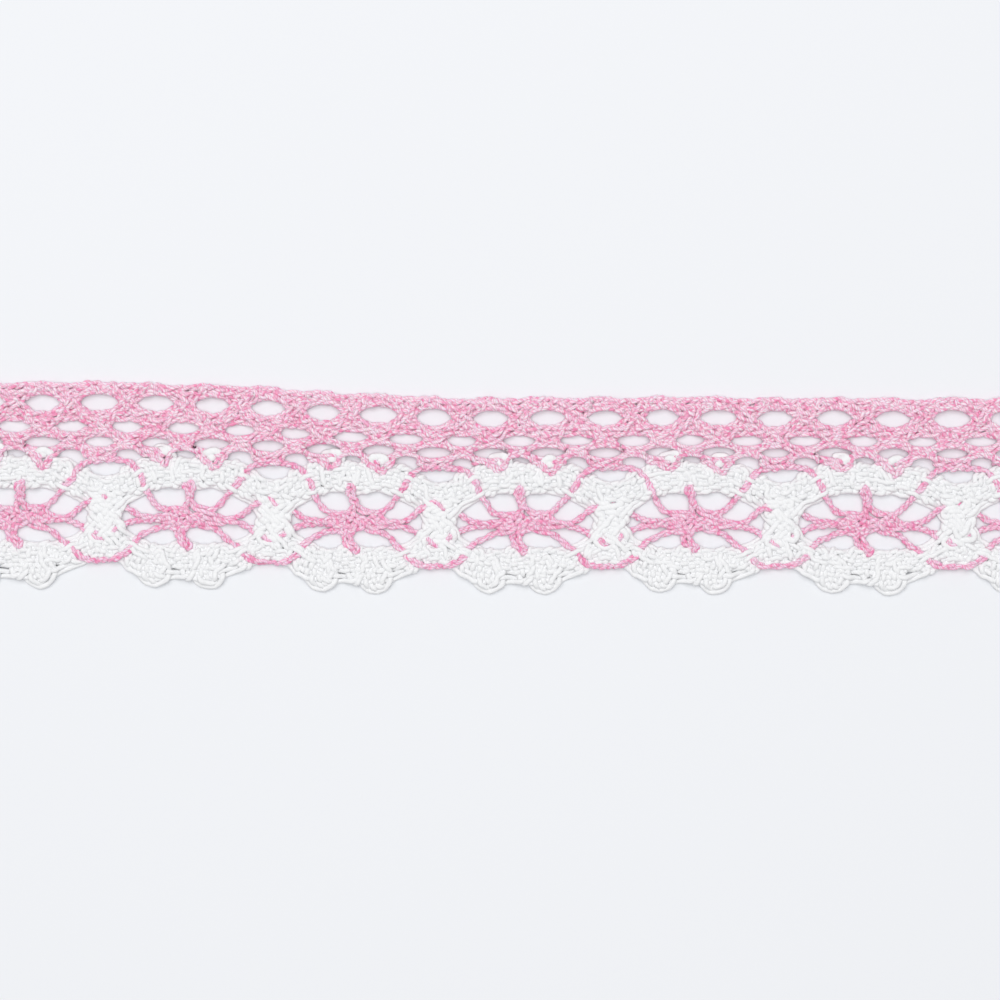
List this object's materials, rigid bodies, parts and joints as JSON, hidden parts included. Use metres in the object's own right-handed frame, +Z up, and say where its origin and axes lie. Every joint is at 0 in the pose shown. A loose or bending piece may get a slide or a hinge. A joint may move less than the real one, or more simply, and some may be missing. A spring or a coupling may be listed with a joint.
{
  "type": "lace edging",
  "caption": "Flat cut length of pink and white cotton bobbin-lace edging, with rows of eyelets, eight-legged spider motifs and a scalloped picot edge.",
  "frame": {"origin": "middle of the underside of the bounding box, on the surface the lace lies on", "axes": "+X along the lace, +Y towards the straight sewing edge, +Z up off the surface"},
  "size_m": [0.1544, 0.028, 0.0012],
  "materials": {
    "pink_cotton": "soft matte cotton yarn with a faint sheen, two plies twisted together",
    "white_cotton": "soft matte bleached cotton yarn with a faint sheen"
  },
  "bodies": {
    "root": {"lace_edging": "pink_cotton"}
  },
  "joints": []
}
